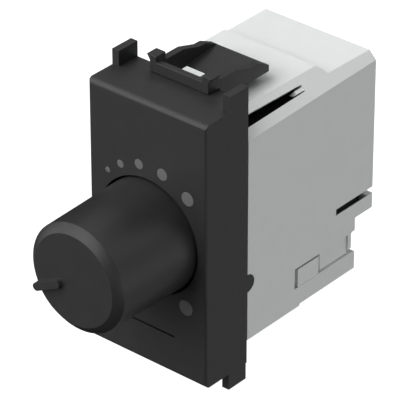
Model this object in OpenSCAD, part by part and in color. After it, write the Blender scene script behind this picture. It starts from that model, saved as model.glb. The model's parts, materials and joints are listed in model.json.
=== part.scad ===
// Rotary dimmer module for a wall support frame.
// Origin: on the knob axis, in the plane of the four lugs that bear on the support frame.
// +X to the right seen from the front, +Y into the wall, +Z up. Millimetres.

/* [Front bezel] */
// Width of the module, one pitch of the support frame
face_w = 22.5; // [22.3:0.1:23.5]
// Height of the bezel
face_h = 45.2; // [44.8:0.1:48]
// Depth of the bezel from its front face to its rear edge
bezel_depth = 9.5; // [9.1:0.1:11]
// Setback of the lugs' bearing faces from the front face
lug_setback = 5.3; // [4.5:0.1:6]
// Thickness of the bezel's outer walls
bezel_wall = 1.6; // [1.4:0.05:1.7]
// Thickness of the bezel's front plate
plate_t = 1.8; // [1.4:0.1:2.2]
// Rounding of the top and bottom front edges
edge_round = 0.9; // [0.3:0.1:1.2]
// Rounding of the side front edges
side_round = 0.4; // [0.2:0.05:0.8]
// Thickness of a lug
lug_t = 1.3; // [1:0.1:1.6]
// Height of the upper lugs above the bezel
lug_top_h = 2.6; // [1.5:0.1:3.2]
// Height of the lower lugs below the bezel
lug_bottom_h = 2.8; // [1.5:0.1:3.2]
// How far the lower lugs end in front of the bezel's rear edge
lug_bottom_short = 0.2; // [0:0.05:0.4]
// Radius of the half-round tab on each side
tab_r = 1.5; // [1:0.1:2]
// Height of the tab's centre above the knob axis
tab_z = -8.55; // [-12:0.05:-6.9]
// Reach of the tab's straight part past the bezel
tab_reach = 0.1; // [0.05:0.05:1]

/* [Knob] */
// Radius of the hole that the knob stands in
hole_r = 9.65; // [9.5:0.05:9.9]
// Depth of the cup behind the hole, from the front face
cup_depth = 5.9; // [5.6:0.1:6.2]
// Height of the knob's face above the front face
knob_h = 16.4; // [14:0.1:20]
// Radius of the knob at its tip, outside the bevel
knob_tip_r = 8.9; // [8.6:0.05:9.1]
// Width of the bevel round the knob's face
knob_bevel = 1.2; // [0.6:0.1:1.6]
// Depth of the bevel round the knob's face
knob_bevel_d = 1.0; // [0.5:0.1:1.5]
// Gap between the knob and the hole
knob_gap = 0.35; // [0.2:0.05:0.45]
// How far the knob's skirt reaches behind the front face
knob_sunk = 2.9; // [2:0.1:3.4]
// Thickness of the knob's shell
knob_wall = 1.4; // [1:0.1:1.8]
// Radius of the knob's inner hub
hub_r = 4.6; // [4.2:0.1:5]
// Travel of the knob when it is pushed
push_travel = 1.2; // [0.6:0.1:1.4]

/* [Pointer] */
// Width of the pointer rib
pointer_w = 1.3; // [1:0.1:2]
// Height of the pointer rib above the knob's face
pointer_h = 0.8; // [0.5:0.1:1.5]
// Distance of the rib's inner end arc from the axis
pointer_in = 3.1; // [1.5:0.1:3.5]
// Distance of the rib's outer end arc from the axis
pointer_out = 7.5; // [5:0.1:7.8]
// Angle of the pointer as stored, anticlockwise from +X seen from the front
pointer_angle = 207; // [180:1:235]

/* [Scale] */
// Diameter of the smallest dot
dot_min = 0.65; // [0.5:0.05:1.2]
// Growth from one dot to the next
dot_step = 0.33; // [0.1:0.01:0.38]
// Gap from the hole's edge to each dot
dot_margin = 1.2; // [0.8:0.05:1.25]
// Depth of the dots' inlays
dot_t = 0.4; // [0.2:0.1:0.8]
// Width of the light slit below the knob
slit_w = 10.3; // [6:0.1:14]
// Height of the light slit
slit_h = 0.35; // [0.25:0.05:0.6]
// Height of the slit above the knob axis
slit_z = -15.8; // [-16.2:0.1:-14.8]

/* [Potentiometer] */
// Radius of the control shaft
shaft_r = 3; // [2.8:0.1:3.1]
// Distance of the shaft's flat from its axis
shaft_flat = 1.5; // [1.2:0.1:2.2]
// Running clearance of the shaft in its bushing, on the radius
shaft_clear = 0.04; // [0.02:0.01:0.08]
// Radius of the threaded bushing
bushing_r = 4.5; // [4.2:0.1:4.6]
// Thickness of the cup's floor, which the bushing is clamped to
floor_t = 1.6; // [1.2:0.1:1.9]
// Thickness of the lock washer
washer_t = 0.5; // [0.3:0.1:0.6]
// Thickness of the bushing nut
nut_t = 1.6; // [1.2:0.1:1.8]
// Width of the bushing nut across its flats
nut_flats = 11; // [10:0.1:12]
// Radius of the lock washer
washer_r = 6.1; // [5.5:0.1:6.4]
// Width of the potentiometer case
pot_w = 13.4; // [12.6:0.1:14]
// Inside depth of the potentiometer case
pot_inner = 6.4; // [6.4:0.1:6.8]
// Wall of the potentiometer and switch cases
case_wall = 1; // [0.7:0.1:1.2]
// Width of the switch case
switch_w = 11; // [10:0.1:11.2]
// Inside depth of the switch case
switch_inner = 3.6; // [3.4:0.1:4.2]
// Radius of the switch plunger
plunger_r = 1.8; // [1.4:0.1:2]
// Radius of the potentiometer's pins
pin_r = 0.4; // [0.3:0.05:0.45]

/* [Board and power parts] */
// Length of the controller chip
chip_l = 8.6; // [6:0.1:9]
// Width of the controller chip
chip_w = 3.8; // [3:0.1:4]
// Height of the controller chip
chip_h = 1.6; // [1:0.1:1.8]
// Thickness of the circuit board
board_t = 1.6; // [1:0.1:1.6]
// Outer radius of the choke core
core_r = 5.1; // [4.6:0.1:5.1]
// Bore radius of the choke core
core_bore = 2.7; // [2.5:0.1:2.9]
// Height of the choke core
core_h = 4.4; // [3.6:0.1:5]
// Radius of the choke wire
choke_wire_r = 0.3; // [0.2:0.05:0.3]
// Length of the film capacitor
film_l = 12.8; // [11:0.1:13]
// Height of the film capacitor above the board
film_h = 11.5; // [9:0.1:12]
// Radius of the smoothing capacitor
smooth_r = 2.3; // [1.8:0.1:2.5]
// Height of the smoothing capacitor above the board
smooth_h = 9; // [7:0.1:11]
// Radius of the varistor
varistor_r = 3.9; // [3:0.1:4]
// Thickness of the varistor
varistor_t = 2.6; // [2:0.1:2.8]
// Radius of the fuse's tube
fuse_r = 1.5; // [1.2:0.05:1.6]
// Length of the fuse's tube
fuse_l = 6; // [5:0.1:6]
// Width of the triac
triac_w = 8; // [6:0.1:9]
// Thickness of the triac
triac_t = 2.7; // [2:0.1:3]
// Radius of the heatsink screw's shank
sink_screw_r = 1.4; // [1:0.05:1.4]
// Thickness of the heatsink plate
sink_t = 1.4; // [1:0.1:1.5]

/* [Housing] */
// Depth of the housing behind the bezel
body_depth = 30.2; // [30:0.1:34]
// Shadow gap between the bezel's rear edge and the housing
body_gap = 0.1; // [0.05:0.05:0.3]
// How far the lower rear stands back from the upper rear
rear_step = 4.2; // [3.6:0.1:4.6]
// Height of the housing's top above the knob axis, at the front
body_top = 19.4; // [19.2:0.1:19.8]
// Drop of the top towards the rear
top_drop = 1.3; // [0.6:0.1:1.3]
// Distance of the drop behind the bezel
top_drop_at = 19.2; // [12:0.1:24]
// Height of the housing's bottom, below the knob axis
body_bottom = 18.6; // [18.6:0.1:19.4]
// Thickness of the housing's walls
wall = 1.2; // [1:0.05:1.25]
// Thickness of the housing's side walls
side_wall = 1.3; // [1.2:0.05:1.35]
// Leg of the right upper bevel at its middle
bevel_leg = 3.0; // [2:0.1:3.2]
// Angle by which the right bevel widens towards the front
bevel_tilt = 1.1; // [0:0.1:1.5]
// Width of the left bevel, which is narrower, seen from above
left_bevel_w = 1.95; // [1.5:0.05:2.5]
// Height of the left bevel, seen from the front
left_bevel_h = 2.55; // [2:0.05:3]
// Width of the slot in the bevel
top_slot_w = 1.15; // [0.8:0.05:1.3]
// Width of the same slot at its front end
top_slot_front_w = 1.8; // [1:0.1:1.9]
// How far the slot's middle lies above the bevel's middle
slot_raised = 0.2; // [0:0.05:0.3]
// Length of the slot in the bevel, behind the bezel
top_slot_l = 14.7; // [8:0.1:18]
// Length of the tongue that stands in the slot's rear end
tongue_l = 1.7; // [1:0.1:2.5]
// Width of that tongue
tongue_w = 0.6; // [0.4:0.05:0.7]
// Depth of the tongue below the bevel
tongue_sunk = 0.15; // [0.1:0.05:0.3]
// Height of the overhang's lower edge, below the knob axis
overhang_z = 9.15; // [9.15:0.05:9.3]
// Height of the slot that runs round the rear, below the knob axis
side_slot_z = 6; // [5.2:0.05:6.05]
// Width of the slot that runs round the rear
side_slot_h = 1.1; // [0.8:0.1:1.1]
// Length of that slot along each side
side_slot_l = 9; // [5:0.1:11]
// How much lower that slot comes out inside than outside, along each side
side_slot_fall = 1.15; // [0:0.05:1.2]
// Thickness of the flanges that plug into the bezel
flange_t = 1.5; // [1:0.1:1.9]

/* [Rear cover] */
// Thickness of the rear cover
cover_t = 1.9; // [1.5:0.1:2.3]
// How far the cover lies inside the lower rear edge
cover_inset = 0.7; // [0.4:0.1:1.1]
// Height of the snap arms' groove
arm_h = 3.6; // [3.2:0.1:3.8]
// Top of the groove, below the knob axis
arm_z = 11.5; // [11.3:0.1:11.6]
// Reach of the snap arms forward from the cover's rear face
arm_l = 13.2; // [11.3:0.1:13.8]
// Length of the hook head
head_l = 5; // [3.5:0.1:6]
// Depth of the arm's face below the side wall
arm_recess = 0.45; // [0.2:0.05:0.5]

/* [Terminals] */
// Pitch of the terminals, before they share any spare width
term_pitch = 6.4; // [6.2:0.1:6.5]
// Radius of a wire entry
wire_r = 1.3; // [1:0.05:1.35]
// Width of a clamp cage, before it shares any spare width
cage_w = 5; // [4.6:0.1:5]
// Length of a clamp cage
cage_l = 5.8; // [4.5:0.1:6]
// Thickness of a clamp cage's metal
cage_t = 0.7; // [0.5:0.05:0.75]
// Thickness of a contact bar
bar_t = 0.8; // [0.6:0.05:0.8]
// Space for the wire in an open cage
wire_space = 2.6; // [2.2:0.1:2.6]
// Travel of a clamp cage
clamp_travel = 2.2; // [1.6:0.1:2.2]
// Radius of a terminal screw's shank
screw_r = 1.5; // [1.3:0.05:1.5]
// Radius of a terminal screw's head
screw_head_r = 1.95; // [1.8:0.05:2.1]
// Height of a terminal screw's head
head_h = 1.4; // [1.1:0.1:1.4]
// Radius of the driver access holes
access_r = 1.5; // [1.2:0.05:1.6]

/* [Latch] */
// Half width of the latch
latch_half = 5.6; // [5.2:0.1:5.8]
// Reach of each post's nose past the latch
nose = 0.6; // [0.3:0.05:0.9]
// Height of the front bar above the bezel
bar_h = 1.8; // [1.2:0.1:2]
// Thickness of the latch's bar
latch_bar_t = 1.1; // [0.8:0.1:1.3]
// Height of the posts above the bezel
post_h = 2.7; // [2.4:0.1:3.2]
// Length of the posts
post_l = 2.2; // [2:0.1:2.6]
// Setback of the bar from the lugs' bearing faces
bar_at = 1.9; // [0.8:0.1:2]
// Distance of the scoop's rear end from the lugs' bearing faces
scoop_end = 15.8; // [14:0.1:18]
// Thickness of the cheeks
cheek_t = 1.2; // [0.9:0.05:1.3]
// Height of the cheeks above the bezel
cheek_h = 1.5; // [1.2:0.1:1.8]
// Distance from the bearing faces at which the cheeks begin to fall
cheek_fall = 8.2; // [7:0.1:9]
// Run of that fall
cheek_fall_l = 3.5; // [2:0.1:4]
// Distance from the bearing faces at which the scoop's floor begins
floor_at = 9; // [8.2:0.1:9.4]
// Thickness of the scoop's floor at its front
floor_front_t = 0.35; // [0.3:0.05:0.5]
// Thickness of the scoop's floor at its rear
floor_rear_t = 1.1; // [0.7:0.05:1.2]
// Radius of the pivot pins
pivot_r = 0.6; // [0.5:0.05:0.65]
// Radius of the ears round the pivot pins
ear_r = 1.0; // [0.9:0.05:1.05]
// Half width of the housing's hooks
hook_half = 1.75; // [1.2:0.05:2]
// Swing of the latch when its scoop is pressed, in degrees
latch_swing = 5; // [2:0.5:5]

/* [Hidden] */

// General clearances
seat = 0.05;     // between pieces that lie against each other in one body
gap = 0.3;       // between pieces that move past each other
eps = 0.01;      // overshoot of a cut
round_fn = 96;

// Depths along Y, from the front to the rear
half_w = face_w / 2;
half_h = face_h / 2;
y_face = -lug_setback;
y_plate = y_face + plate_t;
y_back = y_face + bezel_depth;
y_floor = y_face + cup_depth;
y_pot = y_floor + floor_t;
y_nut = y_floor - washer_t - nut_t;
y_bushing = y_nut - 0.7;
y_tip = y_face - knob_h;
y_skirt = y_face + knob_sunk;
y_hub = y_bushing - push_travel - 0.4;
bushing_flange_t = 0.8;
y_cavity = y_pot + bushing_flange_t;
collar_t = 0.4;
y_collar = y_cavity + 0.1;
y_rotor = y_collar + collar_t + push_travel + 0.2;
y_case_wall = y_cavity + pot_inner;
y_switch = y_case_wall + case_wall;
y_switch_back = y_switch + 2 * case_wall + switch_inner;
y_shaft_end = y_switch - push_travel - 0.1;
track_t = 0.8;
y_track = y_case_wall - track_t;
y_board = y_switch_back;
y_parts = y_board + board_t;
y_body = y_back + body_gap;
y_rear = y_back + body_depth;
y_low = y_rear - rear_step;
y_cover = y_low - cover_inset;
y_cover_in = y_cover - cover_t;

// Heights along Z
top_rear = body_top - top_drop;
in_x = half_w - side_wall;
in_top = top_rear - wall;
in_bottom = -body_bottom + wall;
hook_top = half_h + 0.6;
overhang_in = -overhang_z + 1.15;
slot_top = -side_slot_z + side_slot_h / 2;

// Back of the snap arms' grooves
groove_back = in_x - 0.75;

// Terminals: the three share what the outer cages have to spare beside them, which is nothing at the usual width
chamber_gain = (groove_back - gap - term_pitch - cage_w / 2) * 2 / 3;
pitch_now = term_pitch + chamber_gain;
cage_w_now = cage_w + chamber_gain;
bar_half = cage_w_now / 2 - cage_t - 0.2;
partition_t = pitch_now - cage_w_now - 2 * gap;
term_y = y_cover_in - 0.4 - cage_l / 2;
z_head = in_bottom + 0.1;
z_cage = z_head + head_h + 0.1 + clamp_travel;
z_bar = z_cage + cage_t + 0.2;
z_bar_top = z_bar + bar_t;
z_cage_top = z_bar_top - seat + wire_space;
z_wire = z_cage_top - wire_space / 2;

// Latch pivot
pivot_y = y_back + 1.4;
pivot_z = body_top + 1.3;
latch_floor = body_top + (scoop_end - pivot_y) * sin(latch_swing) + 0.4;

// Circuit board, beside the grooves' backs
board_half = groove_back - 0.1;
board_top = in_top - 0.5;
board_bottom = in_bottom + 0.4;

// Places of the parts on the board, from the housing's walls inwards
side_room = 1.15;
pin_z = -max(pot_w / 2 - 0.6, switch_w / 2 + pin_r + 0.2);
pin_stub = 0.8;
choke_seat = 0.14;
choke_out = core_r + choke_seat + 2 * choke_wire_r;
choke_x = -in_x + side_room + choke_out;
choke_z = in_top - side_room - choke_out - gap;
film_x = choke_x + choke_out + 0.5;
film_x_end = in_x - side_room - 0.2;
film_z = in_top - side_room - gap - film_l;
sink_z = overhang_in + 0.02;
z_triac = sink_z + sink_t;
triac_end = y_rear - wall - 2.4;
screw_y = triac_end - 2.7;
fuse_end_r = fuse_r + 0.1;
fuse_z = choke_z - choke_out - 1.2 - fuse_end_r;

function arc(c, r, a0, a1, n) =
    [for (i = [0:n]) c + r * [cos(a0 + (a1 - a0) * i / n), sin(a0 + (a1 - a0) * i / n)]];

module block(x0, x1, y0, y1, z0, z1) translate([x0, y0, z0]) cube([x1 - x0, y1 - y0, z1 - z0]);

module rod_y(r, y0, y1, x = 0, z = 0, fn = round_fn)
    translate([x, y0, z]) rotate([-90, 0, 0]) cylinder(h = y1 - y0, r = r, $fn = fn);

module rod_z(r, z0, z1, x = 0, y = 0, fn = round_fn)
    translate([x, y, z0]) cylinder(h = z1 - z0, r = r, $fn = fn);

module rod_x(r, x0, x1, y = 0, z = 0, fn = round_fn)
    translate([x0, y, z]) rotate([0, 90, 0]) cylinder(h = x1 - x0, r = r, $fn = fn);

// A flat outline of [y, z] points, extruded along X
module slab_x(points, x0, x1)
    translate([x0, 0, 0]) rotate([90, 0, 90]) linear_extrude(x1 - x0) polygon(points);

// A flat outline of [x, y] points, extruded along Z
module slab_z(points, z0, z1) translate([0, 0, z0]) linear_extrude(z1 - z0) polygon(points);

// An outline of [radius, y] points, turned round the Y axis
module turned(points, fn = round_fn) rotate([-90, 0, 0]) rotate_extrude($fn = fn) polygon(points);

module both_sides() {
    children();
    mirror([1, 0, 0]) children();
}

// A round tube swept along a path of points, with flat ends
function unit(v) = v / norm(v);
function side_of(t) = unit(abs(t[2]) < 0.9 ? cross(t, [0, 0, 1]) : cross(t, [1, 0, 0]));
module tube(path, r, sides) {
    n = len(path);
    tangents = [for (i = [0:n - 1]) unit(path[min(i + 1, n - 1)] - path[max(i - 1, 0)])];
    rings = [for (i = [0:n - 1]) let (s = side_of(tangents[i]), u = cross(tangents[i], s))
        for (k = [0:sides - 1]) path[i] + r * (cos(360 * k / sides) * s + sin(360 * k / sides) * u)];
    walls = [for (i = [0:n - 2], k = [0:sides - 1]) let (m = (k + 1) % sides)
        each [[i * sides + k, (i + 1) * sides + k, i * sides + m],
              [(i + 1) * sides + k, (i + 1) * sides + m, i * sides + m]]];
    caps = [for (k = [1:sides - 2]) each [[0, k, k + 1],
        [(n - 1) * sides, (n - 1) * sides + k + 1, (n - 1) * sides + k]]];
    polyhedron(rings, concat(walls, caps));
}

// Front bezel
module bezel_outer() {
    intersection() {
        slab_x(concat([[y_back, -half_h]], [[y_back, half_h]],
            arc([y_face + edge_round, half_h - edge_round], edge_round, 90, 180, 10),
            arc([y_face + edge_round, -half_h + edge_round], edge_round, 180, 270, 10)), -half_w, half_w);
        slab_z(concat([[half_w, y_back]], [[-half_w, y_back]],
            arc([-half_w + side_round, y_face + side_round], side_round, 180, 270, 8),
            arc([half_w - side_round, y_face + side_round], side_round, 270, 360, 8)), -half_h, half_h);
    }
}

module lug(y1, z0, z1) both_sides() block(half_w - lug_t, half_w, 0, y1, z0, z1);

module side_tab() both_sides() slab_x(concat([[y_back - 1, tab_z - tab_r]],
    arc([y_back + tab_reach, tab_z], tab_r, -90, 90, 16), [[y_back - 1, tab_z + tab_r]]),
    half_w - side_wall, half_w);

// Angle of each scale dot, anticlockwise from +X, smallest first; the face is too narrow for dots beside the hole
dot_angles = [232, 133, 117, 98, 76, 50, -53];
function dot_d(i) = dot_min + i * dot_step;
module dots(extra, t) for (i = [0:len(dot_angles) - 1]) let (orbit = hole_r + dot_margin + dot_d(i) / 2)
    rod_y(dot_d(i) / 2 + extra, y_face, y_face + t,
        orbit * cos(dot_angles[i]), orbit * sin(dot_angles[i]), 40);

module bottom_hook() {
    z = -half_h;
    block(-latch_half, latch_half, bar_at, bar_at + latch_bar_t, z - bar_h, z + eps);
    both_sides() slab_post(z, -1);
}

// A post with an outward nose, standing up or down from the bezel's edge
module slab_post(z, dir) {
    inner = latch_half - cheek_t;
    translate([0, bar_at + post_l, z]) rotate([90, 0, 0]) linear_extrude(post_l)
        polygon([[inner, 0], [latch_half, 0], [latch_half, dir * (post_h - 0.9)],
            [latch_half + nose, dir * post_h], [inner, dir * post_h]]);
}

module front_bezel() color("#3a3a3a") {
    difference() {
        union() {
            difference() {
                bezel_outer();
                block(-half_w + bezel_wall, half_w - bezel_wall, y_plate, y_back + eps,
                    -half_h + bezel_wall, half_h - bezel_wall);
            }
            lug(y_back, half_h - eps, half_h + lug_top_h);
            lug(y_back - lug_bottom_short, -half_h - lug_bottom_h, -half_h + eps);
            side_tab();
            bottom_hook();
            rod_y(hole_r + 1, y_face + 1, y_pot);
        }
        rod_y(hole_r, y_face - eps, y_floor);
        rod_y(bushing_r + 0.1, y_floor - eps, y_pot + eps);
        dots(0.02, dot_t);
        block(-slit_w / 2, slit_w / 2, y_face - eps, y_plate + eps, slit_z - slit_h / 2, slit_z + slit_h / 2);
        // Room for the housing's two hooks in the rear edge of the top and bottom walls
        notch = hook_half + 0.25;
        block(-notch, notch, y_back - 0.35, y_back + eps, half_h - bezel_wall - eps, half_h + eps);
        block(-notch, notch, y_back - 0.35, y_back + eps, -half_h - eps, -half_h + bezel_wall + eps);
    }
}

module scale_dots() color("#8a8a8a") dots(0, dot_t);

// Tongue in the slit, and a bar behind it that narrows towards the lamp
guide_t = 1.6;
lamp_h = 1.1;
module light_guide() color("#c8d0c8") {
    tongue = slit_h - 2 * seat;
    tongue_half = slit_w / 2 - seat;
    guide_half = slit_w / 2 + 0.2;
    y_wide = y_plate + guide_t;
    y_end = y_board - lamp_h - gap;
    block(-tongue_half, tongue_half, y_face + 0.4, y_plate + eps, slit_z - tongue / 2, slit_z + tongue / 2);
    slab_z([[-guide_half, y_plate], [guide_half, y_plate], [guide_half, y_wide], [guide_t, y_end],
        [-guide_t, y_end], [-guide_half, y_wide]], slit_z - guide_t / 2, slit_z + guide_t / 2);
}

// Knob
knob_skirt_r = hole_r - knob_gap;
knob_face_r = knob_tip_r - knob_bevel;
soft = 0.2;
module knob() color("#333333") {
    difference() {
        union() {
            turned(concat([[0, y_tip]], arc([knob_face_r - soft, y_tip + soft], soft, -90, -62, 3),
                arc([knob_tip_r - soft, y_tip + knob_bevel_d + soft], soft, -38, 0, 4),
                [[knob_skirt_r, y_skirt], [0, y_skirt]]), 128);
            pointer();
        }
        turned([[hub_r, y_tip + knob_wall + 0.4], [knob_tip_r - knob_wall, y_tip + knob_wall + 0.4],
            [knob_skirt_r - knob_wall, y_skirt + eps], [hub_r, y_skirt + eps]], 128);
        rod_y(hub_r + eps, y_hub, y_skirt + 2 * eps);
        difference() {
            rod_y(shaft_r + shaft_clear, y_shaft - 0.3, y_hub + eps);
            block(-shaft_r - 1, shaft_r + 1, y_shaft - 1, y_hub + 1, shaft_flat + 0.04, shaft_r + 1);
        }
        // Groove for the spring ring round the hub
        turned([[hub_r - ring_depth, y_ring - 0.1], [hub_r + 1, y_ring - 0.1],
            [hub_r + 1, y_ring + ring_w + 0.1], [hub_r - ring_depth, y_ring + ring_w + 0.1]]);
    }
}

module pointer() rotate([0, -pointer_angle, 0]) {
    y0 = y_tip - pointer_h;
    y1 = y_tip + knob_bevel_d;
    block(pointer_in, pointer_out, y0, y1, -pointer_w / 2, pointer_w / 2);
    rod_y(pointer_w / 2, y0, y1, pointer_in, 0, 48);
    rod_y(pointer_w / 2, y0, y1, pointer_out, 0, 48);
}

// Split spring ring in a groove round the hub
ring_w = 1.4;
ring_depth = 0.3;
y_ring = y_hub - 3.9;
module knob_spring_ring() color("silver") difference() {
    rod_y(hub_r + 0.1, y_ring, y_ring + ring_w);
    rod_y(hub_r - ring_depth + seat, y_ring - eps, y_ring + ring_w + eps);
    block(-ring_w / 2, ring_w / 2, y_ring - eps, y_ring + ring_w + eps, 0, hub_r + 1);
}

// Control shaft: a flatted front for the knob, a round length in the bushing, a two-flat rear in the rotor
y_shaft = y_tip + knob_wall + 1.7;
drive_r = 2.4;
drive_flat = 1.7;
module control_shaft() color("gainsboro") {
    difference() {
        rod_y(shaft_r, y_shaft, y_collar + eps);
        block(-shaft_r - 1, shaft_r + 1, y_shaft - 1, y_hub + 0.1, shaft_flat, shaft_r + 1);
    }
    rod_y(shaft_r + 0.6, y_collar, y_collar + collar_t);
    intersection() {
        rod_y(drive_r, y_collar + collar_t - eps, y_shaft_end);
        block(-drive_flat, drive_flat, y_collar, y_switch, -drive_r, drive_r);
    }
}

module bushing_nut() color("goldenrod") difference() {
    rod_y(nut_flats / 2 / cos(30), y_nut, y_nut + nut_t, 0, 0, 6);
    rod_y(bushing_r + seat, y_nut - eps, y_nut + nut_t + eps);
}

module lock_washer() color("silver") difference() {
    rod_y(washer_r, y_floor - washer_t, y_floor);
    rod_y(bushing_r + seat, y_floor - washer_t - eps, y_floor + eps);
}

module pot_bushing() color("lightgray") difference() {
    union() {
        rod_y(bushing_r, y_bushing, y_pot + eps);
        block(-pot_w / 2, pot_w / 2, y_pot, y_cavity, -pot_w / 2, pot_w / 2);
    }
    rod_y(shaft_r + shaft_clear, y_bushing - eps, y_cavity + eps);
}

module pot_case() color("#5a4632") difference() {
    block(-pot_w / 2, pot_w / 2, y_cavity, y_switch, -pot_w / 2, pot_w / 2);
    rod_y(pot_w / 2 - case_wall, y_cavity - eps, y_case_wall);
    rod_y(drive_r + gap, y_case_wall - eps, y_switch + eps);
}

rotor_r = pot_w / 2 - case_wall - gap;
module pot_rotor() color("white") difference() {
    union() {
        rod_y(rotor_r, y_rotor, y_rotor + 1.6);
        rod_y(3.3, y_rotor, y_track - 0.1);
    }
    intersection() {
        rod_y(drive_r + 0.05, y_rotor - eps, y_track);
        block(-drive_flat - 0.05, drive_flat + 0.05, y_rotor - 1, y_track + 1, -drive_r - 1, drive_r + 1);
    }
}

module wiper() color("#c08040") {
    block(3.6, rotor_r - 0.3, y_rotor + 1.6, y_rotor + 1.8, -1.2, 1.2);
    for (z = [-0.9, 0.3]) slab_z([[3.9, y_rotor + 1.7], [4.6, y_rotor + 1.7], [4.9, y_track - 0.05], [4.4, y_track - 0.05]], z, z + 0.6);
}

module resistance_track() color("#202020") difference() {
    rod_y(pot_w / 2 - case_wall - seat, y_track, y_case_wall);
    rod_y(drive_r + gap, y_track - eps, y_case_wall + eps);
}

pin_pitch = 2.5;
module pot_pins() color("goldenrod") for (i = [-1:1])
    rod_y(pin_r, y_switch, y_parts + pin_stub, i * pin_pitch, pin_z, 24);

module switch_case() color("#d8d8c8") difference() {
    block(-switch_w / 2, switch_w / 2, y_switch, y_switch_back, -switch_w / 2, switch_w / 2);
    block(-switch_w / 2 + case_wall, switch_w / 2 - case_wall, y_switch + case_wall, y_switch_back - case_wall,
        -switch_w / 2 + case_wall, switch_w / 2 - case_wall);
    rod_y(plunger_r + 0.06, y_switch - eps, y_switch + case_wall + eps);
}

plunger_flange_t = 0.8;
y_plunger_flange = y_switch + case_wall + 0.1;
module switch_plunger() color("#a03030") {
    rod_y(plunger_r, y_shaft_end + 0.1, y_plunger_flange + eps);
    rod_y(plunger_r + 1.2, y_plunger_flange, y_plunger_flange + plunger_flange_t);
}

spring_turns = 4;
spring_wire_r = 0.14;
module return_spring() color("silver") {
    y0 = y_plunger_flange + plunger_flange_t + spring_wire_r + 0.02;
    y1 = y_switch_back - case_wall - spring_wire_r - 0.02;
    steps = 14 * spring_turns;
    tube([for (i = [0:steps]) [plunger_r * cos(360 * spring_turns * i / steps), y0 + (y1 - y0) * i / steps,
        plunger_r * sin(360 * spring_turns * i / steps)]], spring_wire_r, 6);
}

module circuit_board() color("#1f6b3a") difference() {
    block(-board_half, board_half, y_board, y_parts, board_bottom, board_top);
    for (i = [-1:1]) rod_y(pin_r + seat, y_board - eps, y_parts + eps, i * pin_pitch, pin_z, 24);
}

module locator_lamp() color("#f0f0a0") {
    block(-1, 1, y_board - lamp_h, y_board, slit_z - 0.7, slit_z + 0.7);
}

// Chip with seven legs along each long side
module controller_chip() color("#202020") {
    z = slit_z + guide_t / 2 + chip_w / 2 + 2.5;
    leg_w = 0.35;
    leg_l = 1;
    block(-chip_l / 2, chip_l / 2, y_board - chip_h, y_board - 0.15, z - chip_w / 2, z + chip_w / 2);
    for (i = [-3:3], s = [-1, 1]) let (x = i * chip_l / 7, zc = z + s * (chip_w + leg_l) / 2)
        block(x - leg_w / 2, x + leg_w / 2, y_board - 0.3, y_board, zc - leg_l / 2 - eps, zc + leg_l / 2);
}

small_w = 1.2;
small_pitch = 3.2;
module surface_mount_parts() color("#3a2f28") both_sides() for (i = [0:5]) let (z = board_bottom + 3.8 + small_pitch * i)
    block(board_half - 0.9 - small_w, board_half - 0.9, y_board - small_w / 2, y_board, z, z + small_w * 2 / 3);

// Power parts behind the board
choke_y = y_parts + core_h / 2 + 2 * choke_wire_r + choke_seat + seat;
module choke_core() color("#30302c") translate([choke_x, choke_y, choke_z])
    turned([[core_bore, -core_h / 2], [core_r, -core_h / 2], [core_r, core_h / 2], [core_bore, core_h / 2]], 64);

// Copper wire wound round the core, as one unbroken tube
choke_turns = 14;
module choke_winding() color("#b5651d") {
    mid_r = (core_bore + core_r) / 2;
    in_a = (core_r - core_bore) / 2 + choke_wire_r + choke_seat;
    in_b = core_h / 2 + choke_wire_r + choke_seat;
    steps = 16 * choke_turns;
    // A rounded square round the core's section, so the wire lies close to it
    tube([for (i = [0:steps]) let (t = 360 * choke_turns * i / steps, a = 20 + 320 * i / steps,
            c = cos(t), s = sin(t), k = 1 / pow(pow(abs(c), 6) + pow(abs(s), 6), 1 / 6),
            r = mid_r + in_a * c * k)
        [choke_x + r * cos(a), choke_y + in_b * s * k, choke_z + r * sin(a)]], choke_wire_r, 6);
}

module film_capacitor() color("#c8a020")
    block(film_x, film_x_end, y_parts, y_parts + film_h, film_z, film_z + film_l);

module smoothing_capacitor() color("#203060") {
    x = in_x - side_room - smooth_r;
    z = z_triac + triac_t + gap + smooth_r;
    rim = 0.3;
    rod_y(smooth_r, y_parts, y_parts + smooth_h - rim, x, z, 64);
    rod_y(smooth_r - rim, y_parts + smooth_h - rim - eps, y_parts + smooth_h, x, z, 64);
}

module varistor() color("#2040a0") {
    x = -in_x + side_room;
    y = y_parts + 0.7 + varistor_r;
    z = z_triac + side_room + gap + varistor_r;
    lead_r = 0.35;
    rod_x(varistor_r, x, x + varistor_t, y, z, 64);
    for (s = [-1, 1]) rod_y(lead_r, y_parts, y - varistor_r * 0.8, x + varistor_t / 2, z + s * varistor_r * 0.46, 24);
}

module fuse() color("#e8e0d0") {
    y = y_parts + 1 + fuse_end_r;
    end_l = 0.8;
    x0 = varistor_t / 2 - smooth_r - fuse_l / 2 - end_l;
    x1 = x0 + fuse_l + 2 * end_l;
    rod_x(fuse_r, x0 + end_l - eps, x1 - end_l + eps, y, fuse_z, 48);
    for (x = [x0, x1 - end_l]) {
        rod_x(fuse_end_r, x, x + end_l, y, fuse_z, 48);
        block(x, x + end_l, y_parts, y - fuse_r * 2 / 3, fuse_z - end_l / 2, fuse_z + end_l / 2);
    }
}

triac_lead = 2.2;
module triac() color("#1c1c1c") {
    difference() {
        block(-triac_w / 2, triac_w / 2, y_parts + triac_lead, triac_end, z_triac, z_triac + triac_t);
        rod_z(sink_screw_r + 0.1, z_triac - eps, z_triac + triac_t + eps, 0, screw_y, 48);
    }
    for (i = [-1:1]) let (x = i * 2.3)
        block(x - 0.4, x + 0.4, y_parts, y_parts + triac_lead + eps, z_triac + 1, z_triac + 1.5);
}

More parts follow.
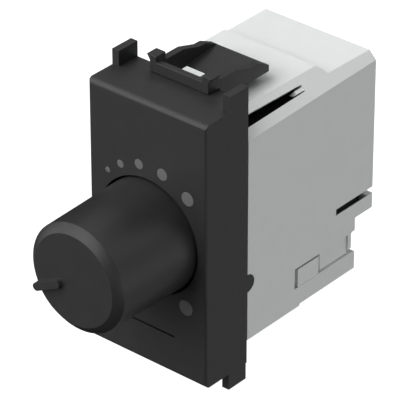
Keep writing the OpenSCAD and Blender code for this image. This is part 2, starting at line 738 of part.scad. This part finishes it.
module heatsink_plate() color("lightsteelblue") difference() {
    x = in_x - side_room - 0.2;
    block(-x, x, y_parts + pin_stub + 0.2, y_rear - wall - 0.4, sink_z, z_triac);
    rod_z(sink_screw_r + seat, sink_z - eps, z_triac + eps, 0, screw_y, 48);
}

sink_head_h = 1.6;
module heatsink_screw() color("silver") difference() {
    z_face = z_triac + triac_t + sink_head_h;
    union() {
        rod_z(sink_screw_r, sink_z, z_face - sink_head_h + eps, 0, screw_y, 48);
        rod_z(sink_screw_r + 1.1, z_face - sink_head_h, z_face, 0, screw_y, 48);
    }
    cross_recess(z_face, 1, 0, screw_y, sink_screw_r + 0.1);
}

// A cross recess for a driver, cut into a head whose face is at z, on the side that dir points to
module cross_recess(z, dir, x, y, reach) for (a = [0, 90]) translate([x, y, z]) rotate([0, 0, a])
    translate([-reach, -0.25, dir > 0 ? -0.8 : -eps]) cube([2 * reach, 0.5, 0.8 + eps]);

// Terminals
function term_x(i) = (i - 1) * pitch_now;

module contact_bar(i) color("gold") block(term_x(i) - bar_half, term_x(i) + bar_half, y_parts, term_y + cage_l / 2, z_bar, z_bar_top);

module clamp_cage(i) color("#c0c4c8") difference() {
    block(term_x(i) - cage_w_now / 2, term_x(i) + cage_w_now / 2, term_y - cage_l / 2, term_y + cage_l / 2,
        z_cage, z_cage_top + cage_t);
    block(term_x(i) - cage_w_now / 2 + cage_t, term_x(i) + cage_w_now / 2 - cage_t, term_y - cage_l, term_y + cage_l,
        z_cage + cage_t, z_cage_top);
    rod_z(screw_r + 0.05, z_cage - eps, z_cage + cage_t + eps, term_x(i), term_y, 48);
}

module terminal_screw(i) color("silver") difference() {
    union() {
        rod_z(screw_head_r, z_head, z_head + head_h, term_x(i), term_y, 64);
        rod_z(screw_r, z_head + head_h - eps, z_bar - seat, term_x(i), term_y, 48);
    }
    cross_recess(z_head, -1, term_x(i), term_y, screw_head_r * 2 / 3);
}

// Housing
// Everything outside the planes of the two upper bevels
left_bevel_angle = atan2(left_bevel_h, left_bevel_w);
module bevel_cut() {
    mid = y_back + body_depth / 2;
    translate([half_w, mid, body_top - bevel_leg]) rotate([0, 45, 0]) rotate([bevel_tilt, 0, 0])
        block(-12, 12, -body_depth, body_depth, 0, 8);
    translate([-half_w, mid, body_top - left_bevel_h]) rotate([0, -left_bevel_angle, 0])
        block(-12, 12, -body_depth, body_depth, 0, 8);
}

module body_outline() slab_x([[y_body, -body_bottom], [y_low, -body_bottom], [y_low, -overhang_z],
    [y_rear, -overhang_z], [y_rear, top_rear], [y_back + top_drop_at + top_drop, top_rear],
    [y_back + top_drop_at, body_top], [y_body, body_top]], -half_w, half_w);

module body_cavity() {
    block(-in_x, in_x, y_back - eps, y_rear - wall, overhang_in, in_top);
    block(-in_x, in_x, y_back - eps, y_low + eps, in_bottom, overhang_in + eps);
}

// Hook that clips over the bezel's rear edge, for the top; the bottom one is its mirror image
module body_hook(root) slab_x([[y_back + 0.3, root - eps], [y_back + 2, root - eps], [y_back + 2, hook_top - 0.45],
    [y_back + 1.55, hook_top], [y_back - 0.1, hook_top], [y_back - 0.3, half_h + 0.05], [y_back - 0.3, half_h - bezel_wall - 1],
    [y_back + 0.3, half_h - bezel_wall - 1.6]], -hook_half, hook_half);

// Top flange, which plugs into the bezel and closes it; the bottom one is its mirror image
module flange(inner, root) {
    x = half_w - bezel_wall - seat;
    block(-x, x, y_back - flange_t, y_body, inner, half_h - bezel_wall - seat);
    block(-x, x, y_back - flange_t, y_back + 1, inner, root - 0.1);
}

// The groove for a snap arm, its thickened back and the barb's hole
module arm_back() both_sides() block(groove_back, in_x + eps, y_cover - arm_l - 1.6, y_cover_in - seat, -arm_z - arm_h - 0.6, -arm_z + 0.6);
module arm_groove() both_sides() {
    block(in_x, half_w + eps, y_cover - arm_l - 0.8, y_low + eps, -arm_z - arm_h, -arm_z);
    block(in_x - eps, half_w + eps, y_cover, y_low + eps, -arm_z - 2.9, -arm_z + 0.1);
    slab_x([[y_cover, -arm_z - 2.8], [y_low + eps, -arm_z - 3.8], [y_low + eps, -arm_z - 2.8]], in_x - eps, half_w + eps);
    block(groove_back - eps, in_x + eps, y_cover - arm_l + 0.9, y_cover - arm_l + 3.1, -arm_z - arm_h + 0.6, -arm_z - 0.8);
}

// A slot in each bevel, cut square to it, through the roof and no further, with a tongue left in its rear end
module slot_shape() difference() {
    slab_z([[-slot_raised - top_slot_front_w / 2, y_back - eps],
        [-slot_raised + top_slot_front_w / 2, y_back - eps], [-slot_raised + top_slot_w / 2, y_back + top_slot_l],
        [-slot_raised - top_slot_w / 2, y_back + top_slot_l]], -4, 3);
    x = -slot_raised + 0.1;
    block(x - tongue_w / 2, x + tongue_w / 2, y_back + top_slot_l - tongue_l, y_back + top_slot_l + 1, -5, -tongue_sunk);
}
module bevel_slot() intersection() {
    union() {
        translate([half_w - bevel_leg / 2, 0, body_top - bevel_leg / 2]) rotate([0, 45, 0]) slot_shape();
        translate([-half_w + left_bevel_w / 2, 0, body_top - left_bevel_h / 2]) rotate([0, -left_bevel_angle, 0])
            mirror([1, 0, 0]) slot_shape();
    }
    block(-half_w - 1, half_w + 1, y_back - 1, y_rear, in_top - eps, body_top + 1);
}

rib_half = 2;  // half width of the rib that the circuit board rests on
module housing() color("#c9cbc9") {
    difference() {
        union() {
            difference() {
                body_outline();
                bevel_cut();
                body_cavity();
                block(-half_w + 4.2, half_w - 4.2, y_back - eps, y_back + top_drop_at - wall, in_top - eps, body_top - wall);
            }
            flange(in_top, body_top);
            mirror([0, 0, 1]) flange(-in_bottom, body_bottom);
            // Rib and ledges that the circuit board rests on
            block(-rib_half, rib_half, y_parts, y_parts + 1.2, in_top - 1, body_top - wall + eps);
            both_sides() block(board_half - 0.4, in_x + eps, y_parts, y_parts + 1.2, in_bottom - eps, in_bottom + 2.2);
            arm_back();
            body_hook(body_top);
            mirror([0, 0, 1]) body_hook(body_bottom);
            latch_ears();
        }
        bevel_slot();
        arm_groove();
        // Half-round recesses for the bezel's tabs
        both_sides() slab_x(concat([[y_back - eps, tab_z - tab_r - seat]],
            arc([y_back + tab_reach, tab_z], tab_r + seat, -90, 90, 16), [[y_back - eps, tab_z + tab_r + seat]]),
            half_w - side_wall - seat, half_w + eps);
        // Slot that runs round the rear and along both sides, where it falls inwards
        both_sides() translate([0, y_rear - wall, slot_top]) rotate([90, 0, 0]) linear_extrude(side_slot_l - wall)
            polygon([[in_x - eps, -side_slot_fall], [in_x - eps, -side_slot_fall - side_slot_h],
                [half_w + eps, -side_slot_h], [half_w + eps, 0]]);
        block(-half_w - eps, half_w + eps, y_rear - wall - eps, y_rear + eps, slot_top - side_slot_h, slot_top);
        // Driver access to the captive terminal screws
        for (i = [0:2]) rod_z(access_r, -body_bottom - eps, in_bottom + eps, term_x(i), term_y, 48);
        // Bevelled lower edge
        both_sides() translate([half_w, 0, -body_bottom]) rotate([0, 45, 0]) block(-0.25, 0.25, y_back + 12.6, y_rear, -0.25, 0.25);
        rod_x(pivot_r + 0.05, -latch_half, latch_half, pivot_y, pivot_z, 48);
    }
}

// Ears on the housing's top that carry the latch's pivot pins
ear_out = latch_half - cheek_t - gap;
module latch_ears() both_sides() {
    block(ear_out - 1, ear_out, pivot_y - ear_r, pivot_y + ear_r, body_top - eps, pivot_z);
    rod_x(ear_r, ear_out - 1, ear_out, pivot_y, pivot_z, 48);
}

// Rear cover with the partitions between the terminals, the wire entries and two snap arms
module rear_cover() color("#c4c6c4") {
    top = -overhang_z - seat;
    face = half_w - arm_recess;
    difference() {
        union() {
            block(-in_x + seat, in_x - seat, y_cover_in, y_cover, in_bottom + seat, top);
            for (s = [-1, 1]) translate([s * pitch_now / 2, 0, 0])
                block(-partition_t / 2, partition_t / 2, term_y - cage_l / 2 - 0.6, y_cover_in + eps, in_bottom + seat, sink_z - 0.2);
            both_sides() {
                block(in_x + seat, face, y_cover - arm_l + head_l - eps, y_cover - 0.8, -arm_z - arm_h + seat, -arm_z - seat);
                block(in_x + seat, half_w, y_cover - arm_l, y_cover - arm_l + head_l, -arm_z - arm_h + seat, -arm_z - 0.4);
                block(in_x - 0.5, half_w - 0.15, y_cover - 0.8 - eps, y_cover, -arm_z - 2.85, -arm_z - seat);
                block(in_x - 0.4, in_x + 0.5, y_cover - arm_l + 1.1, y_cover - arm_l + 2.9, -arm_z - arm_h + 0.9, -arm_z - 1.1);
            }
        }
        for (i = [0:2]) {
            rod_y(wire_r, y_cover_in - eps, y_cover + eps, term_x(i), z_wire, 48);
            translate([term_x(i), y_cover - 0.4, z_wire]) rotate([-90, 0, 0])
                cylinder(h = 0.4 + eps, r1 = wire_r, r2 = wire_r + 0.4, $fn = 48);
        }
        // Grooves that set the heads off from the arms
        head_end = y_cover - arm_l + head_l;
        both_sides() block(in_x + 0.4, half_w + eps, head_end, head_end + arm_recess + 0.4, -arm_z - arm_h, -arm_z + eps);
    }
}

// Release latch: nosed posts and a bar over the bezel, cheeks and a scoop behind it, on two pivot pins
module release_latch() color("#363636") {
    z0 = half_h + 0.1;
    inner = latch_half - cheek_t;
    y_cheek = bar_at + post_l;
    block(-inner - eps, inner + eps, bar_at, bar_at + latch_bar_t, z0, half_h + bar_h);
    both_sides() {
        translate([0, 0, 0.1]) slab_post(half_h, 1);
        slab_x([[y_cheek - eps, z0], [y_cheek - eps, half_h + cheek_h], [cheek_fall, half_h + cheek_h],
            [cheek_fall + cheek_fall_l, half_h + 0.45], [cheek_fall + cheek_fall_l + 1.5, half_h + 0.4],
            [scoop_end, latch_floor + floor_rear_t], [scoop_end, latch_floor + 0.1],
            [scoop_end - 0.2, latch_floor], [pivot_y + ear_r, latch_floor], [pivot_y, pivot_z - 0.6],
            [y_back + gap, pivot_z - 0.6], [y_back + gap, z0]], inner, latch_half);
        rod_x(ear_r, inner, latch_half, pivot_y, pivot_z, 48);
        rod_x(pivot_r, ear_out - 1, inner + eps, pivot_y, pivot_z, 48);
    }
    slab_x([[floor_at, latch_floor], [scoop_end - 0.2, latch_floor], [scoop_end, latch_floor + 0.1],
        [scoop_end, latch_floor + floor_rear_t], [floor_at, latch_floor + floor_front_t]], -inner - eps, inner + eps);
}

// A leaf spring that lifts the scoop
module latch_spring() color("silver") {
    t = 0.2;
    y_free = floor_at + 0.2;
    z_free = latch_floor - (y_free + 2 * t - pivot_y) * sin(latch_swing) - seat;
    slab_x([[y_free - 0.8, body_top], [y_free + 4.2, body_top], [y_free + 4.2, body_top + t], [y_free + 3.6, body_top + t],
        [y_free + 2 * t, z_free], [y_free, z_free], [y_free + 0.1, z_free - t], [y_free + 2.4, body_top + t],
        [y_free - 0.8, body_top + t]], -1.5, 1.5);
}

front_bezel();
scale_dots();
light_guide();
knob();
knob_spring_ring();
control_shaft();
bushing_nut();
lock_washer();
pot_bushing();
pot_case();
pot_rotor();
wiper();
resistance_track();
pot_pins();
switch_case();
switch_plunger();
return_spring();
circuit_board();
locator_lamp();
controller_chip();
surface_mount_parts();
choke_core();
choke_winding();
film_capacitor();
smoothing_capacitor();
varistor();
fuse();
triac();
heatsink_plate();
heatsink_screw();
contact_bar(0);  // contact_bar_left
contact_bar(1);  // contact_bar_middle
contact_bar(2);  // contact_bar_right
clamp_cage(0);  // clamp_cage_left
clamp_cage(1);  // clamp_cage_middle
clamp_cage(2);  // clamp_cage_right
terminal_screw(0);  // terminal_screw_left
terminal_screw(1);  // terminal_screw_middle
terminal_screw(2);  // terminal_screw_right
housing();
rear_cover();
release_latch();
latch_spring();
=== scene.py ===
"""Looks of the rotary dimmer module: black bezel, knob and latch, grey housing, soft studio light."""
import json
import math

import bpy
from mathutils import Matrix, Vector


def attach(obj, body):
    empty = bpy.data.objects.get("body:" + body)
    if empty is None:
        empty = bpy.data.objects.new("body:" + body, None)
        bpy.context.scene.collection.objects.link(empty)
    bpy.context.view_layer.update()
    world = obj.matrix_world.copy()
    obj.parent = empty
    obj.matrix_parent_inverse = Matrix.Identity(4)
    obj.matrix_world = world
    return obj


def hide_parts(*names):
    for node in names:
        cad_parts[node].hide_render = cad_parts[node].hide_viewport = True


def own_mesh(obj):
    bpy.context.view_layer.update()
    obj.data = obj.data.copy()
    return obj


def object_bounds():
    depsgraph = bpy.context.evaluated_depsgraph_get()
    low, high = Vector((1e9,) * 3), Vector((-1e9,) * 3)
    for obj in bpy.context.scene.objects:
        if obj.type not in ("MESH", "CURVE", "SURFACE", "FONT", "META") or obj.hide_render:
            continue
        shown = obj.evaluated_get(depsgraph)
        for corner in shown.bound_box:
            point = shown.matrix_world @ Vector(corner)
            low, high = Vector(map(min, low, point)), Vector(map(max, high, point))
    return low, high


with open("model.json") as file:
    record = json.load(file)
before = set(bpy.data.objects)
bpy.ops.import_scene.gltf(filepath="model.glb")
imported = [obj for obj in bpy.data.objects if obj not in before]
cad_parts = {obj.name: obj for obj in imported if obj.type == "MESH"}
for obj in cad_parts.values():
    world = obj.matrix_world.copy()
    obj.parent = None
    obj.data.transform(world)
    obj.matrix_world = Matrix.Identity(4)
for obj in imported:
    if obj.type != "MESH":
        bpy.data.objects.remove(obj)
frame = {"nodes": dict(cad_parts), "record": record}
cad_low, cad_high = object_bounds()
MM = 0.001

# Camera: the photograph's viewing angle, as azimuth, elevation and roll in degrees
VIEW_AZIMUTH = 40.35
VIEW_ELEVATION = 31.27
VIEW_ROLL = -0.07
VIEW_DISTANCE = 515.5 * MM
LOOK_AT = Vector((0.0, 9.72, 2.63)) * MM
SHIFT_RIGHT = 2.009 * MM
SHIFT_UP = 2.998 * MM
FOCAL_PIXELS = 3439.0
IMAGE_PIXELS = 400.0
SENSOR = 36.0
NEAREST_SEEN = 10 * MM
FARTHEST_SEEN = 20000 * MM


def direction(azimuth, elevation):
    """Unit vector away from the module, azimuth 0 in front of it and 90 at its right, in degrees."""
    az = math.radians(azimuth)
    el = math.radians(elevation)
    return Vector((math.sin(az) * math.cos(el), -math.cos(az) * math.cos(el), math.sin(el)))


def make_camera():
    az = math.radians(VIEW_AZIMUTH)
    back = direction(VIEW_AZIMUTH, VIEW_ELEVATION)
    right = Vector((math.cos(az), math.sin(az), 0.0))
    up = back.cross(right)
    roll = Matrix.Rotation(math.radians(VIEW_ROLL), 3, back)
    place = LOOK_AT - SHIFT_RIGHT * right - SHIFT_UP * up + VIEW_DISTANCE * back
    data = bpy.data.cameras.new("camera")
    data.lens = FOCAL_PIXELS / IMAGE_PIXELS * SENSOR
    data.sensor_width = SENSOR
    data.clip_start = NEAREST_SEEN
    data.clip_end = FARTHEST_SEEN
    camera = bpy.data.objects.new("camera", data)
    bpy.context.scene.collection.objects.link(camera)
    turn = (roll @ Matrix((right, up, back)).transposed()).to_4x4()
    camera.matrix_world = Matrix.Translation(place) @ turn
    bpy.context.scene.camera = camera


# Materials
# The Mix node's colour sockets: its first colour, its second colour, and the result
MIX_LOW = 6
MIX_HIGH = 7
MIX_RESULT = 2


class Surface:
    """A material's node tree, with short calls for the nodes that the finishes below share."""

    def __init__(self, name):
        self.material = bpy.data.materials.new(name)
        self.material.use_nodes = True
        self.tree = self.material.node_tree
        self.shader = self.tree.nodes["Principled BSDF"]
        self.place = self.tree.nodes.new("ShaderNodeTexCoord").outputs["Object"]

    def link(self, source, socket):
        self.tree.links.new(source, socket)

    def set(self, **values):
        for name, value in values.items():
            self.shader.inputs[name.replace("_", " ")].default_value = value

    def stretched(self, stretch):
        mapping = self.tree.nodes.new("ShaderNodeMapping")
        mapping.inputs["Scale"].default_value = stretch
        self.link(self.place, mapping.inputs["Vector"])
        return mapping.outputs["Vector"]

    def noise(self, size, detail=2.0, stretch=(1, 1, 1)):
        """Cloudy pattern from 0 to 1, in spots of size millimetres; stretch shortens them along an axis."""
        node = self.tree.nodes.new("ShaderNodeTexNoise")
        node.inputs["Scale"].default_value = 1 / (size * MM)
        node.inputs["Detail"].default_value = detail
        self.link(self.stretched(stretch), node.inputs["Vector"])
        return node.outputs["Fac"]

    def cells(self, size, feature="F1"):
        """Distance within cells of size millimetres."""
        node = self.tree.nodes.new("ShaderNodeTexVoronoi")
        node.feature = feature
        node.inputs["Scale"].default_value = 1 / (size * MM)
        self.link(self.stretched((1, 1, 1)), node.inputs["Vector"])
        return node.outputs["Distance"]

    def spread(self, pattern, low, high, start=0.3, end=0.7):
        """A pattern's values from start to end, spread over low to high."""
        node = self.tree.nodes.new("ShaderNodeMapRange")
        for name, value in (("From Min", start), ("From Max", end), ("To Min", low), ("To Max", high)):
            node.inputs[name].default_value = value
        self.link(pattern, node.inputs["Value"])
        return node.outputs["Result"]

    def tint(self, pattern, low, high):
        """Base colour that goes from one colour to the other with the pattern."""
        node = self.tree.nodes.new("ShaderNodeMix")
        node.data_type = "RGBA"
        self.link(pattern, node.inputs["Factor"])
        node.inputs[MIX_LOW].default_value = (*low, 1)
        node.inputs[MIX_HIGH].default_value = (*high, 1)
        self.link(node.outputs[MIX_RESULT], self.shader.inputs["Base Color"])

    def rough(self, pattern, low, high):
        self.link(self.spread(pattern, low, high), self.shader.inputs["Roughness"])

    def bump(self, pattern, depth, strength=1.0):
        """Relief of the pattern, depth millimetres high."""
        node = self.tree.nodes.new("ShaderNodeBump")
        node.inputs["Distance"].default_value = depth * MM
        node.inputs["Strength"].default_value = strength
        self.link(pattern, node.inputs["Height"])
        self.link(node.outputs["Normal"], self.shader.inputs["Normal"])


def shade(color, factor):
    return tuple(min(1.0, c * factor) for c in color)


def moulded(name, color, rough, depth=0.003, uneven=0.05, gloss=0.5):
    """Plastic from a spark-eroded mould: a fine matt grain, slightly uneven in tone and gloss."""
    s = Surface(name)
    grain = s.noise(0.16, 3.0)
    s.tint(s.spread(s.noise(3.0), 0, 1), shade(color, 1 - uneven), shade(color, 1 + uneven))
    s.rough(s.noise(0.5, 3.0), rough - 0.04, rough + 0.04)
    s.bump(grain, depth)
    s.set(Specular_IOR_Level=gloss)
    return s.material


def lacquered(name, color, rough, coat=0.6):
    """Dipped or glazed skin: glossy, with slow waves and a few specks."""
    s = Surface(name)
    s.tint(s.spread(s.noise(1.2, 4.0), 0, 1), shade(color, 0.85), shade(color, 1.1))
    s.rough(s.noise(0.8), rough - 0.05, rough + 0.1)
    s.bump(s.noise(1.6, 1.0), 0.03)
    s.set(Coat_Weight=coat, Coat_Roughness=0.12)
    return s.material


def metal(name, color, rough, streak=(1, 1, 1), depth=0.002):
    """Worked metal: streaks along the axis with the smallest stretch, and duller patches."""
    s = Surface(name)
    lines = s.noise(0.12, 4.0, streak)
    s.tint(s.spread(s.noise(1.5, 3.0), 0, 1), shade(color, 0.82), shade(color, 1.08))
    s.rough(lines, rough - 0.08, rough + 0.12)
    s.bump(lines, depth)
    s.set(Metallic=1.0)
    return s.material


def clear_guide(name):
    """Smoky clear plastic with a frosted skin and faint flow lines."""
    s = Surface(name)
    s.tint(s.spread(s.noise(1.0), 0, 1), (0.1, 0.11, 0.105), (0.14, 0.15, 0.145))
    s.rough(s.noise(0.3), 0.3, 0.42)
    s.bump(s.noise(0.8, 1.0, (1, 4, 1)), 0.002)
    s.set(Transmission_Weight=0.75, IOR=1.49)
    return s.material


def laminate(name):
    """Solder resist over fine copper tracks, which show as paler raised lines."""
    s = Surface(name)
    tracks = s.cells(1.4, "DISTANCE_TO_EDGE")
    s.tint(s.spread(tracks, 1, 0, 0.04, 0.1), (0.008, 0.085, 0.03), (0.03, 0.2, 0.075))
    s.rough(s.noise(0.4), 0.28, 0.42)
    s.bump(s.spread(tracks, 0, 1, 0.12, 0.04), 0.03)
    s.set(Coat_Weight=0.3, Coat_Roughness=0.2)
    return s.material


def sintered(name):
    """Ferrite: near black, dull and speckled with pores."""
    s = Surface(name)
    pores = s.cells(0.22)
    s.tint(s.spread(pores, 0, 1, 0.1, 0.6), (0.012, 0.012, 0.011), (0.05, 0.05, 0.045))
    s.rough(s.noise(0.3), 0.5, 0.75)
    s.bump(pores, 0.02)
    return s.material


def fibrous(name, low, high, rough):
    """Pressed board: fibres along the sheet in two tones."""
    s = Surface(name)
    fibres = s.noise(0.25, 5.0, (1, 1, 6))
    s.tint(s.spread(fibres, 0, 1), low, high)
    s.rough(fibres, rough - 0.08, rough + 0.08)
    s.bump(fibres, 0.008)
    return s.material


# Heights in millimetres between which the film goes from its paler to its darker tone: painted light in its
# lower part, painted shade higher up
FILM_PAINTED_LIGHT_Z = -2
FILM_PAINTED_SHADE_Z = 8


def painted_shade_skin(name):
    """Dull black film that paints shade, with painted light making it a little paler in its lower part."""
    s = Surface(name)
    height = s.tree.nodes.new("ShaderNodeSeparateXYZ")
    s.link(s.place, height.inputs["Vector"])
    # Painted light: the film's tint is paler towards the bottom and near black higher up
    painted_light = s.spread(height.outputs["Z"], 1, 0, FILM_PAINTED_LIGHT_Z * MM, FILM_PAINTED_SHADE_Z * MM)
    s.tint(painted_light, (0.004, 0.004, 0.004), (0.06, 0.06, 0.06))
    s.rough(s.noise(0.5, 3.0), 0.7, 0.9)
    s.bump(s.noise(0.6, 3.0), 0.01)
    s.set(Specular_IOR_Level=0.05)
    return s.material


MATERIALS = {
    "black_plastic": moulded("black_plastic", (0.0252, 0.0252, 0.0255), 0.42, gloss=0.3),
    "knob_plastic": moulded("knob_plastic", (0.0245, 0.0245, 0.0248), 0.42, gloss=0.3),
    "scale_inlay": moulded("scale_inlay", (0.112, 0.112, 0.1125), 0.5),
    "clear_plastic": clear_guide("clear_plastic"),
    "grey_plastic": moulded("grey_plastic", (0.685, 0.706, 0.694), 0.5, uneven=0.012),
    "white_plastic": moulded("white_plastic", (0.7, 0.69, 0.64), 0.4, uneven=0.02),
    "red_plastic": moulded("red_plastic", (0.36, 0.03, 0.025), 0.38),
    "yellow_plastic": moulded("yellow_plastic", (0.55, 0.33, 0.03), 0.3, uneven=0.03),
    "blue_sleeve": lacquered("blue_sleeve", (0.02, 0.045, 0.2), 0.25, 0.4),
    "blue_lacquer": lacquered("blue_lacquer", (0.02, 0.07, 0.33), 0.2),
    "white_ceramic": lacquered("white_ceramic", (0.7, 0.67, 0.58), 0.2),
    "black_moulding": moulded("black_moulding", (0.016, 0.016, 0.0165), 0.55, uneven=0.1),
    "phenolic": fibrous("phenolic", (0.09, 0.04, 0.017), (0.17, 0.085, 0.04), 0.5),
    "carbon_track": fibrous("carbon_track", (0.012, 0.012, 0.012), (0.035, 0.035, 0.034), 0.4),
    "lamp_plastic": lacquered("lamp_plastic", (0.75, 0.72, 0.42), 0.15, 0.8),
    "board_laminate": laminate("board_laminate"),
    "ferrite": sintered("ferrite"),
    "copper_wire": metal("copper_wire", (0.6, 0.22, 0.08), 0.26, (1, 1, 1), 0.004),
    "copper_alloy": metal("copper_alloy", (0.72, 0.42, 0.2), 0.28, (1, 6, 1)),
    "brass_bar": metal("brass_bar", (0.78, 0.57, 0.25), 0.3, (6, 1, 6)),
    "plated_brass": metal("plated_brass", (0.72, 0.66, 0.48), 0.3, (1, 5, 1)),
    "spring_steel": metal("spring_steel", (0.6, 0.6, 0.61), 0.24, (5, 1, 5)),
    "zinc_steel": metal("zinc_steel", (0.62, 0.63, 0.62), 0.34, (1, 1, 3)),
    "zinc_alloy": metal("zinc_alloy", (0.55, 0.555, 0.56), 0.42, (1, 1, 1), 0.006),
    "shaft_alloy": metal("shaft_alloy", (0.7, 0.7, 0.705), 0.26, (1, 8, 1)),
    "aluminium_plate": metal("aluminium_plate", (0.78, 0.785, 0.79), 0.32, (8, 8, 1)),
}


# Rounded edges, with sizes in millimetres and angles in degrees
WELD_GAP = 0.002
FLAT_ANGLE = 0.5
SHARP_ANGLE = 28
EDGE_SEGMENTS = 3
FACE_WEIGHT = 80
PLAIN_EDGE = 0.05
EDGES = {"front_bezel": 0.1, "release_latch": 0.2, "housing": 0.08, "rear_cover": 0.08, "knob": 0.16}
WIRES = ("choke_winding", "return_spring")


def join_faces(node):
    """Joins the solid's faces into one skin, with smooth shading."""
    weld = node.modifiers.new("weld", "WELD")
    weld.merge_threshold = WELD_GAP * MM
    for face in node.data.polygons:
        face.use_smooth = True


def soften(node, width):
    """Rounds the edges, width millimetres wide, and keeps the flat faces flat in the light."""
    join_faces(node)
    flat = node.modifiers.new("flat", "DECIMATE")
    flat.decimate_type = "DISSOLVE"
    flat.angle_limit = math.radians(FLAT_ANGLE)
    bevel = node.modifiers.new("bevel", "BEVEL")
    bevel.width = width * MM
    bevel.segments = EDGE_SEGMENTS
    bevel.limit_method = "ANGLE"
    bevel.angle_limit = math.radians(SHARP_ANGLE)
    bevel.miter_outer = "MITER_ARC"
    normal = node.modifiers.new("normal", "WEIGHTED_NORMAL")
    normal.weight = FACE_WEIGHT


def swell(node):
    """Rounds a wire whose solid has few sides."""
    join_faces(node)
    smooth = node.modifiers.new("smooth", "SUBSURF")
    smooth.levels = 1
    smooth.render_levels = 1


def finish_nodes():
    """Gives each CAD node its material and its rounded edges."""
    for part in frame["record"]["subparts"]:
        node = frame["nodes"][part["node"]]
        node.data.materials.clear()
        node.data.materials.append(MATERIALS[part["material_slot"]])
        if part["node"] in WIRES:
            swell(node)
        else:
            soften(node, EDGES.get(part["node"], PLAIN_EDGE))


finish_nodes()


def make_return_spring():
    """The spring behind the switch's plunger, which shortens as the knob is pushed in; here a fixed copy of
    its CAD node, carried with the module.
    """
    node = frame["nodes"]["return_spring"]
    spring = bpy.data.objects.new("pushed_spring", node.data.copy())
    spring.matrix_world = node.matrix_world
    bpy.context.scene.collection.objects.link(spring)
    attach(spring, "module")
    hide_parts("return_spring")
    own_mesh(spring)
    swell(spring)


make_return_spring()


# Black film that paints the shade seen through the housing's slots, in millimetres
FILM_X = 9.66
FILM_TOP = 16.7
FILM_BOTTOM = -7.95
FILM_REAR = 32.98
FILM_FOLD = 0.5
FILM_THICKNESS = 0.12
FOLD_STEPS = 4
# Along the depth: from the front to the rib, beside the rib, and on to the rear
FILM_ROWS = (4.45, 17.4, 19.0, FILM_REAR)
RIB_ROW = 1
RIB_X = 2.3


def film_section():
    """The film's cross section, as (x, z) from the lower left to the lower right."""
    half = [(FILM_X, FILM_BOTTOM)]
    for step in range(FOLD_STEPS + 1):
        turn = math.radians(90 * step / FOLD_STEPS)
        x = FILM_X - FILM_FOLD * (1 - math.cos(turn))
        z = FILM_TOP - FILM_FOLD * (1 - math.sin(turn))
        half.append((x, z))
    half.append((RIB_X, FILM_TOP))
    return [(-x, z) for x, z in half] + half[::-1]


def make_film():
    """Black film folded round the inside of the housing, with a gap for the rib, behind the slots, painting
    the shade seen through them.
    """
    section = film_section()
    count = len(section)
    points = [(x * MM, y * MM, z * MM) for y in FILM_ROWS for x, z in section]
    faces = []
    for row in range(len(FILM_ROWS) - 1):
        for i in range(count - 1):
            if row == RIB_ROW and i == count // 2 - 1:
                continue
            a = row * count + i
            faces.append((a, a + 1, a + count + 1, a + count))
    last = (len(FILM_ROWS) - 1) * count
    faces.append(tuple(range(last, last + count)))
    mesh = bpy.data.meshes.new("painted_shade_film")
    mesh.from_pydata(points, [], faces)
    film = bpy.data.objects.new("painted_shade_film", mesh)
    bpy.context.scene.collection.objects.link(film)
    thick = film.modifiers.new("thick", "SOLIDIFY")
    thick.thickness = FILM_THICKNESS * MM
    thick.offset = 0
    # The film's near-black skin is painted shade for the inside of the housing
    mesh.materials.append(painted_shade_skin("painted_shade_film"))
    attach(film, "module")


make_film()


# Floor and light
# How far the floor reaches, in metres, and how far below the module it lies, in millimetres
FLOOR_REACH = 3.0
FLOOR_DROP = 1.0


def make_floor():
    """A plain white floor that casts no light back on the module and shows no shadow."""
    z = cad_low.z - FLOOR_DROP * MM
    r = FLOOR_REACH
    mesh = bpy.data.meshes.new("floor")
    mesh.from_pydata([(-r, -r, z), (r, -r, z), (r, r, z), (-r, r, z)], [], [(0, 1, 2, 3)])
    floor = bpy.data.objects.new("floor", mesh)
    material = bpy.data.materials.new("floor")
    material.use_nodes = True
    shader = material.node_tree.nodes["Principled BSDF"]
    shader.inputs["Base Color"].default_value = (0.2, 0.2, 0.2, 1)
    shader.inputs["Roughness"].default_value = 1.0
    shader.inputs["Specular IOR Level"].default_value = 0.0
    shader.inputs["Emission Color"].default_value = (1, 1, 1, 1)
    shader.inputs["Emission Strength"].default_value = 1.0
    mesh.materials.append(material)
    floor.visible_diffuse = False
    floor.visible_glossy = False
    floor.visible_shadow = False
    bpy.context.scene.collection.objects.link(floor)


# Soft lamps round the module: azimuth and elevation in degrees, strength, and how many degrees they span.
# A fitting program picked these lamps and their strengths, so that the tones come near the photograph's.
LARGE = 44.0
SMALL = 32.0
SOFTBOXES = [
    (240, 60, 0.35, LARGE), (135, 38, 0.51, LARGE), (202, 16, 0.11, LARGE), (292, 16, 0.30, LARGE),
    (338, 16, 0.93, LARGE), (120, -6, 0.44, LARGE), (300, -6, 0.56, LARGE), (150, -30, 0.15, LARGE),
    (330, -30, 0.05, LARGE), (180, -58, 0.08, LARGE),
    (315, 30, 0.57, SMALL), (345, 30, 0.45, SMALL), (0, 30, 0.55, SMALL), (300, 60, 0.74, SMALL),
    (345, 60, 1.01, SMALL), (180, 45, 0.33, SMALL), (210, 45, 0.12, SMALL), (60, -12, 0.37, SMALL),
    (90, -12, 0.50, SMALL),
]


def make_world():
    """A sky that gives no light, so that all of it comes from the lamps."""
    world = bpy.data.worlds.new("world")
    bpy.context.scene.world = world
    world.use_nodes = True
    world.node_tree.nodes["Background"].inputs["Strength"].default_value = 0.0


def make_softboxes():
    for number, (azimuth, elevation, strength, angle) in enumerate(SOFTBOXES):
        data = bpy.data.lights.new(f"softbox_{number}", "SUN")
        data.energy = strength
        data.angle = math.radians(angle)
        light = bpy.data.objects.new(f"softbox_{number}", data)
        light.rotation_mode = "QUATERNION"
        light.rotation_quaternion = direction(azimuth, elevation).to_track_quat("Z", "Y")
        bpy.context.scene.collection.objects.link(light)


make_camera()
make_floor()
make_world()
make_softboxes()
bpy.context.scene.view_settings.view_transform = "Standard"
